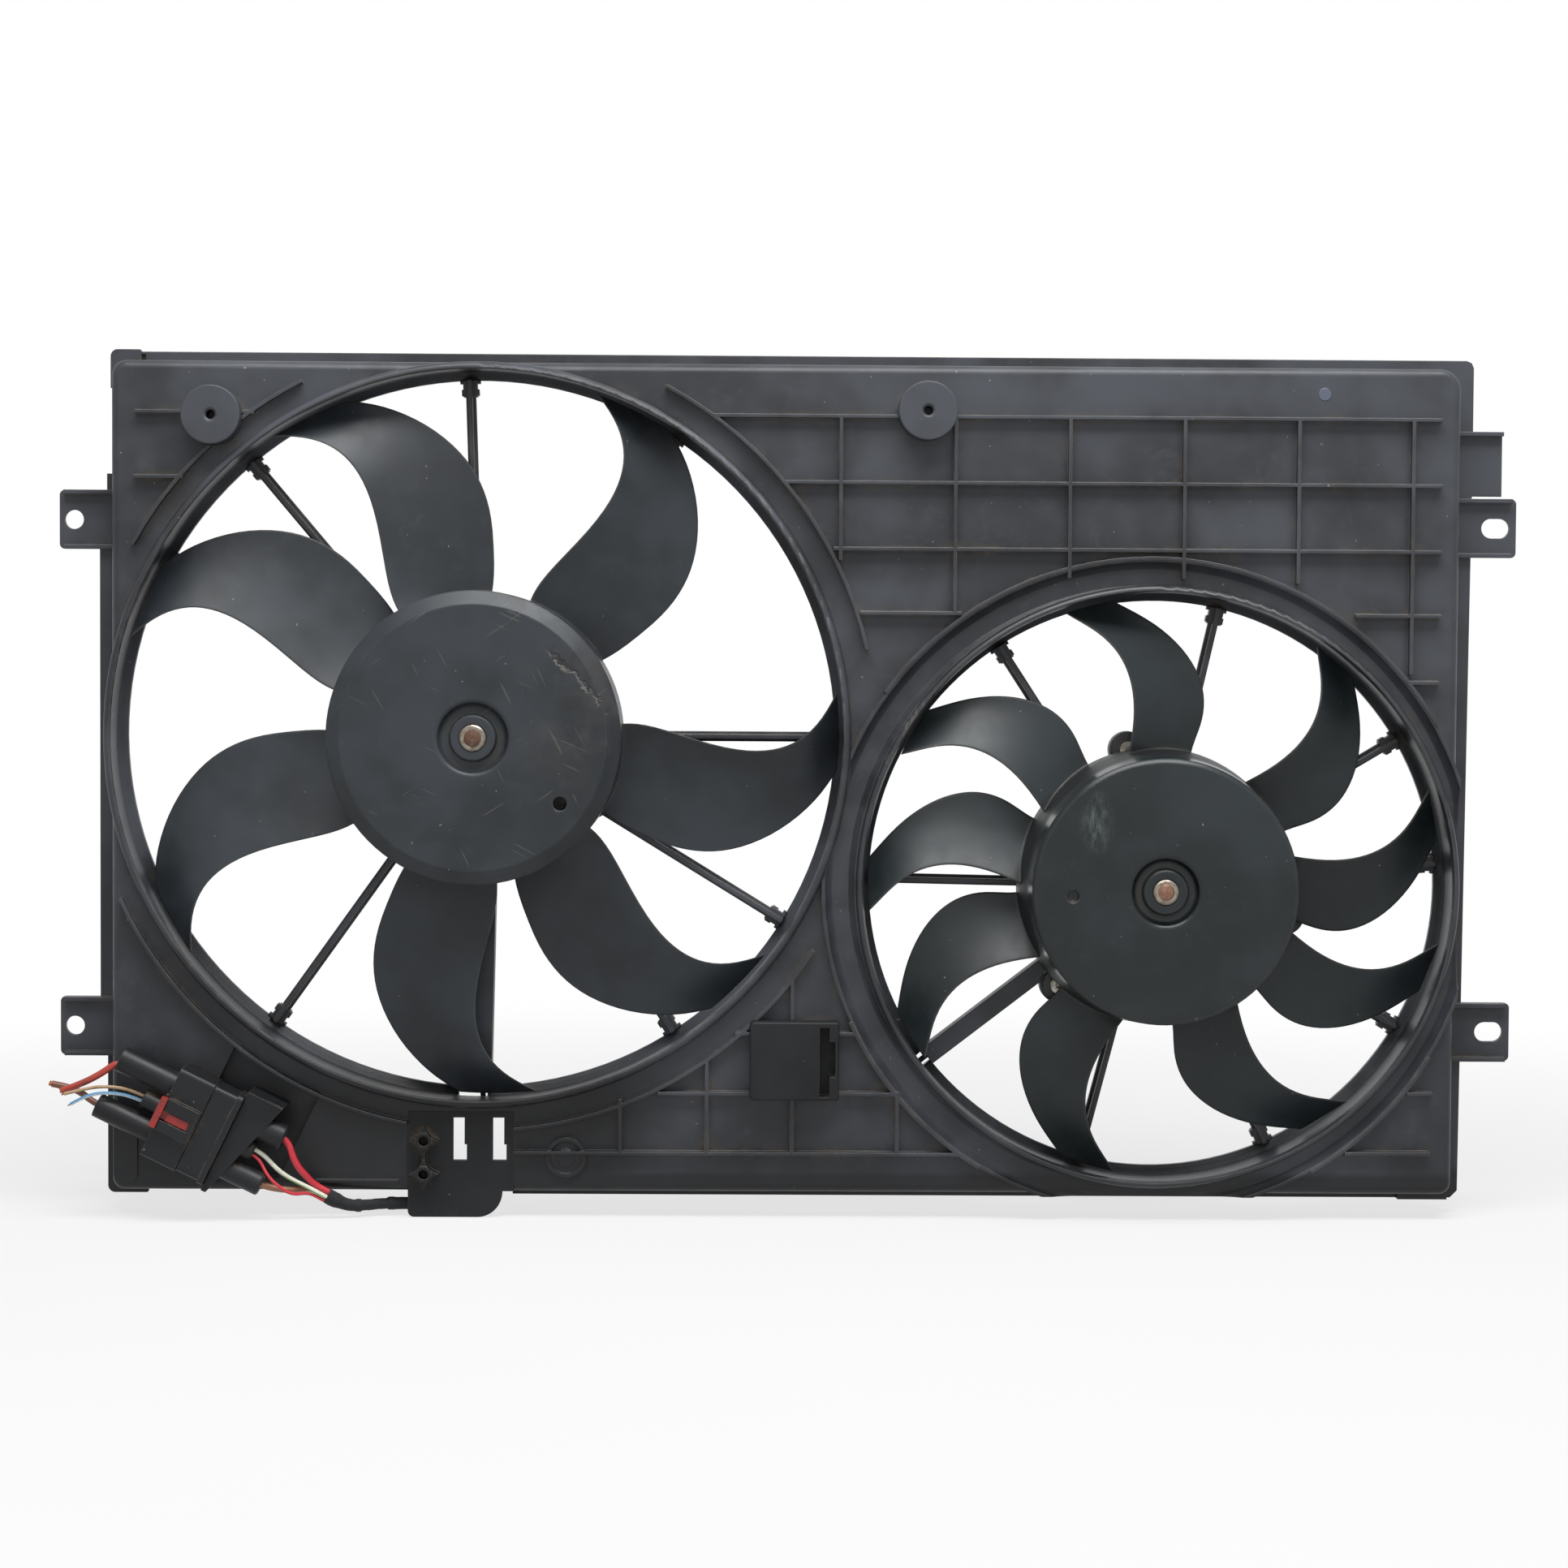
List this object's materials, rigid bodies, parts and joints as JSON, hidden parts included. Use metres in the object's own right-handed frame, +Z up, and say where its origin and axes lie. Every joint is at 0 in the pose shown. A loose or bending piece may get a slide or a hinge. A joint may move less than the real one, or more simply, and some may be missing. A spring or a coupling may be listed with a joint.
{
  "type": "radiator fan",
  "caption": "Twin radiator fan of different sizes in a ribbed moulded shroud, with electric motors on strut spiders and a plugged wiring connector.",
  "frame": {"origin": "middle of the whole unit's box, measured without the four cut wires of the plug", "axes": "+X along the length, to the right as seen from the engine side; +Z up; +Y along the fans' axes, towards the radiator"},
  "size_m": [0.7046, 0.064, 0.416],
  "materials": {
    "shroud": "black glass-filled nylon, matte moulded grain",
    "big_fan": "black nylon, satin, blue-grey cast",
    "small_fan": "black nylon, slightly glossier",
    "connector": "black connector plastic, fine grain",
    "red_plastic": "red moulded plastic",
    "seal": "black silicone rubber",
    "terminal": "tin-plated copper alloy",
    "wire_red": "red wire insulation",
    "wire_brown": "brown wire insulation",
    "wire_beige": "beige wire insulation",
    "wire_blue": "white wire insulation with a blue stripe",
    "wire_white": "white wire insulation with a green stripe",
    "tape": "black cloth harness tape",
    "motor_steel": "black-painted drawn steel",
    "screw_steel": "zinc-plated steel",
    "magnet": "grey ferrite",
    "bronze": "sintered bronze",
    "phenolic": "brown phenolic moulding",
    "carbon": "carbon brush",
    "armature": "steel laminations with copper windings",
    "copper": "copper segments",
    "shaft_steel": "steel with brown rust on its end",
    "clip_steel": "plated steel retaining ring"
  },
  "bodies": {
    "shroud": {"shroud_panel": "shroud", "big_fan_ring": "shroud", "small_fan_ring": "shroud", "big_motor_mount": "shroud", "small_motor_mount": "shroud", "module_holder": "shroud", "left_pad": "shroud", "right_pad": "shroud", "cable_tab": "shroud", "connector_bracket": "shroud", "socket_housing": "connector", "socket_seals": "seal", "socket_terminals": "terminal", "socket_wire_red": "wire_red", "socket_wire_tan": "wire_brown", "socket_wire_white": "wire_white", "socket_wire_thin_red": "wire_red", "harness_sleeve": "tape", "big_motor_lead": "tape", "small_motor_lead": "tape", "big_motor_case": "motor_steel", "big_motor_cover": "motor_steel", "big_motor_screws": "screw_steel", "big_motor_magnets": "magnet", "big_motor_bearings": "bronze", "big_brush_holder": "phenolic", "big_brushes": "carbon", "small_motor_case": "motor_steel", "small_motor_cover": "motor_steel", "small_motor_screws": "screw_steel", "small_motor_magnets": "magnet", "small_motor_bearings": "bronze", "small_brush_holder": "phenolic", "small_brushes": "carbon"},
    "big_rotor": {"big_fan": "big_fan", "big_shaft": "shaft_steel", "big_shaft_clip": "clip_steel", "big_armature": "armature", "big_commutator": "copper"},
    "small_rotor": {"small_fan": "small_fan", "small_shaft": "shaft_steel", "small_shaft_clip": "clip_steel", "small_armature": "armature", "small_commutator": "copper"},
    "plug": {"plug_housing": "connector", "plug_terminals": "terminal", "plug_seals": "seal", "plug_wire_red": "wire_red", "plug_wire_brown": "wire_brown", "plug_wire_beige": "wire_beige", "plug_wire_blue": "wire_blue"},
    "plug_lock": {"plug_lock": "red_plastic"}
  },
  "joints": [
    {"name": "big_fan_spin", "type": "hinge", "parent": "shroud", "child": "big_rotor", "pos_m": [-0.1485, 0.002, 0.0231], "axis": [0, -1, 0], "continuous": true},
    {"name": "small_fan_spin", "type": "hinge", "parent": "shroud", "child": "small_rotor", "pos_m": [0.1769, 0.002, -0.0475], "axis": [0, -1, 0], "continuous": true},
    {"name": "plug_slide", "type": "slide", "parent": "shroud", "child": "plug", "axis": [-0.8988, 0, 0.4384], "range_m": [0, 0.02]},
    {"name": "plug_lock_slide", "type": "slide", "parent": "plug", "child": "plug_lock", "axis": [-0.8988, 0, 0.4384], "range_m": [0, 0.0045]}
  ]
}
